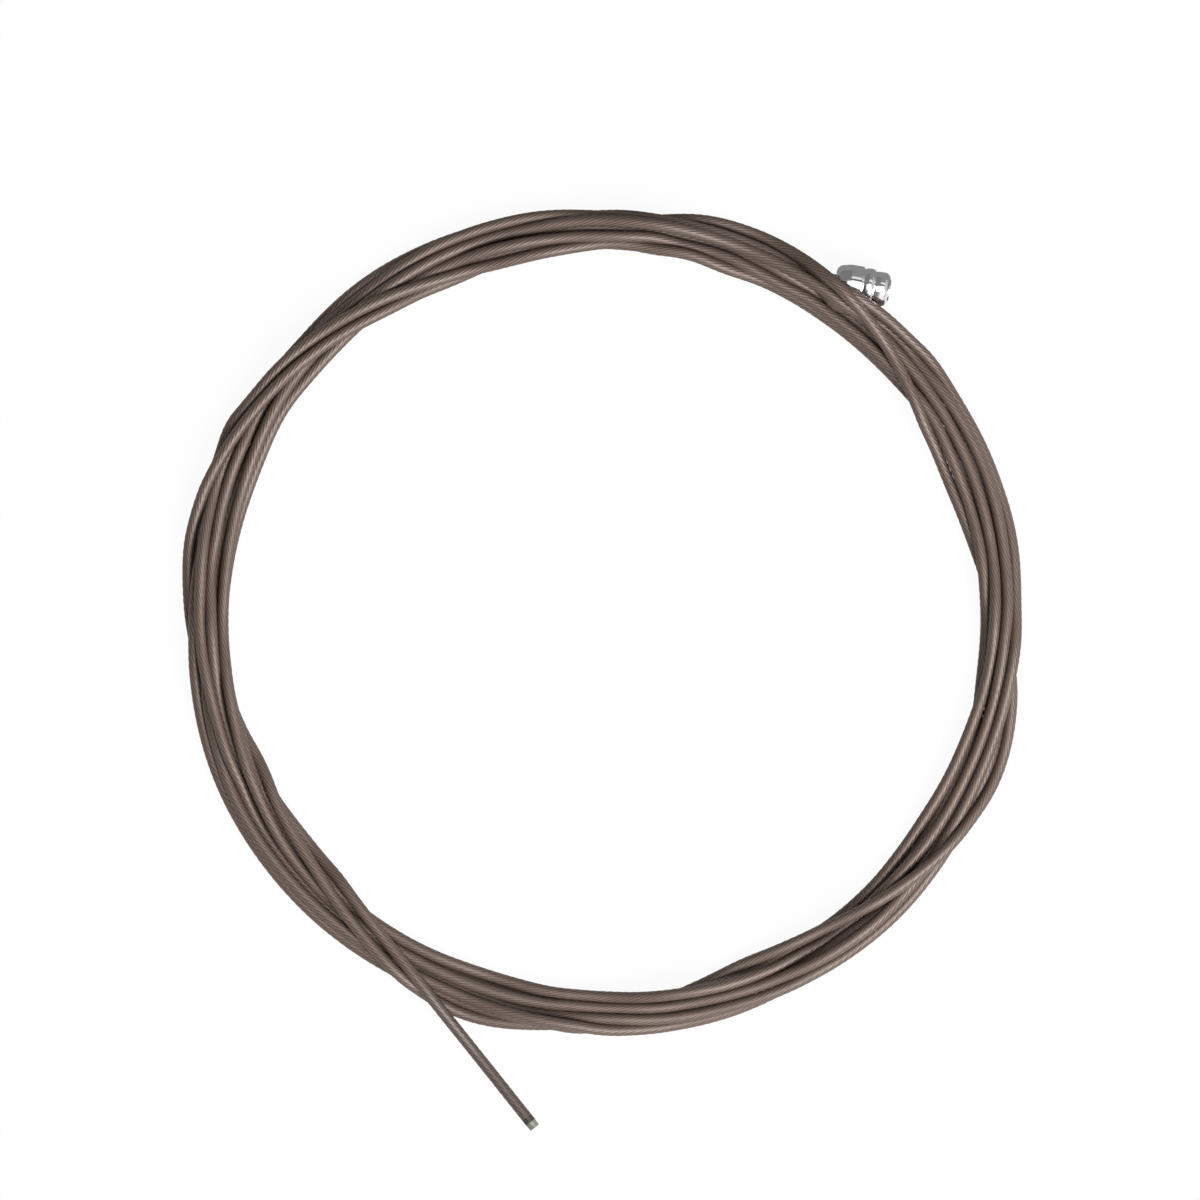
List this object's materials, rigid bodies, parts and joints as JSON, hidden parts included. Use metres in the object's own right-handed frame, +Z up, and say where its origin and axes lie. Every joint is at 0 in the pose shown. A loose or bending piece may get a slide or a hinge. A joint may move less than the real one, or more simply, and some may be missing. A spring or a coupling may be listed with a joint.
{
  "type": "shift cable",
  "caption": "Coiled inner cable for a bicycle gear shifter: dark coated steel strand wound in a flat ring, with a grooved cylindrical cast head and a cut free end.",
  "frame": {"origin": "middle of the whole cable's outline, on the plane that the coil lies on", "axes": "+Z up out of the flat coil; +Y from the free end's tip towards the far side of the coil, the longest way across"},
  "size_m": [0.089, 0.0988, 0.0062],
  "materials": {
    "coated_cable": "satin dark brown coating over twisted steel wires",
    "cast_head": "smooth bright die casting"
  },
  "bodies": {
    "root": {"coil": "coated_cable", "free_end": "coated_cable", "head": "cast_head"}
  },
  "joints": []
}
